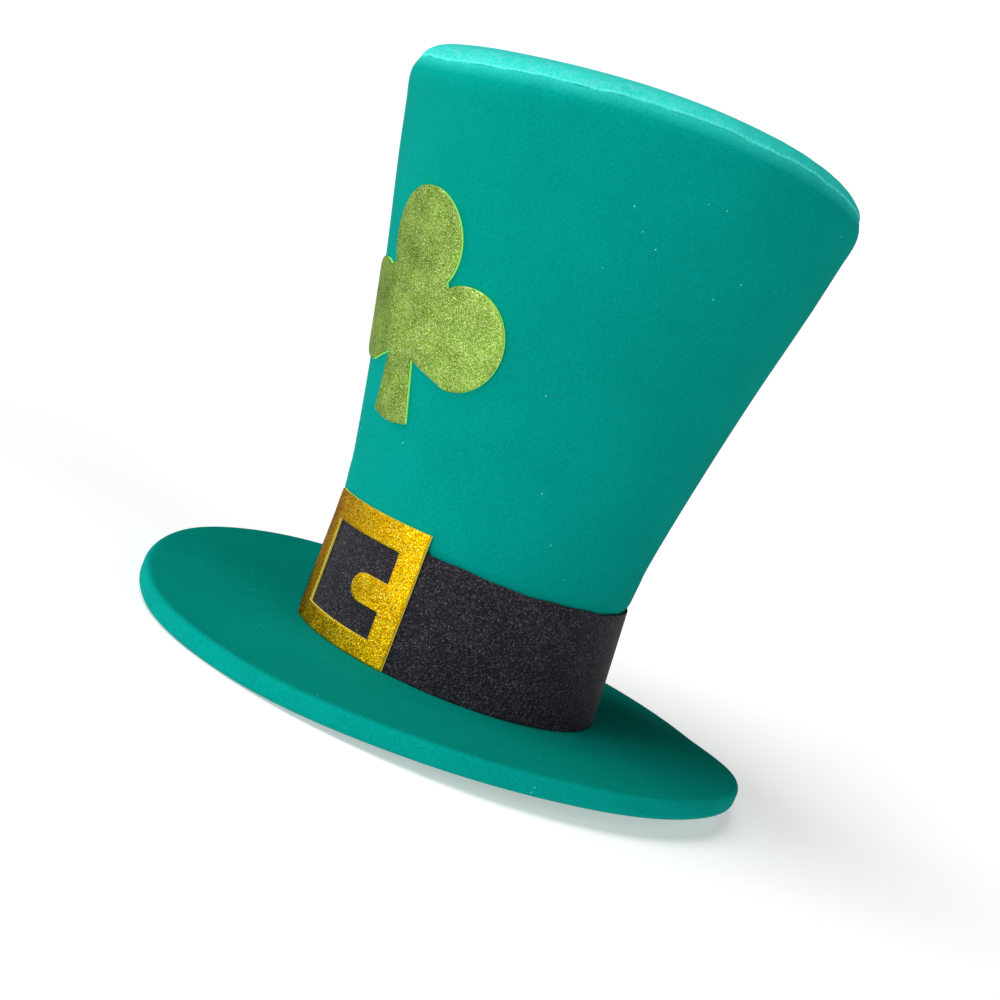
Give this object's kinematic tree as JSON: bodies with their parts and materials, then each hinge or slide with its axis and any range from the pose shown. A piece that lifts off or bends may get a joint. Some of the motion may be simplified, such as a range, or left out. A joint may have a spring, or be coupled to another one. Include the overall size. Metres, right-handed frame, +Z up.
{
  "type": "leprechaun costume hat",
  "caption": "Tall flared green foam costume hat with a curled brim, black glitter band, gold buckle and lime shamrock; hollow, worn on the head and resting on its brim.",
  "frame": {"origin": "on the surface that the hat rests on, below the middle of the brim", "axes": "+Z up through the crown, -Y towards the front with the buckle and the shamrock, +X towards the wearer's left"},
  "size_m": [0.406, 0.406, 0.4002],
  "materials": {
    "green_foam": "matt soft foam, very fine grain",
    "black_glitter_foam": "fine glitter on black foam sheet",
    "gold_glitter_foam": "coarse gold glitter on foam sheet",
    "lime_glitter_foam": "fine lime glitter on foam sheet"
  },
  "bodies": {
    "root": {"brim": "green_foam", "crown_wall": "green_foam", "crown_top": "green_foam", "hat_band": "black_glitter_foam", "buckle": "gold_glitter_foam", "shamrock": "lime_glitter_foam"}
  },
  "joints": []
}
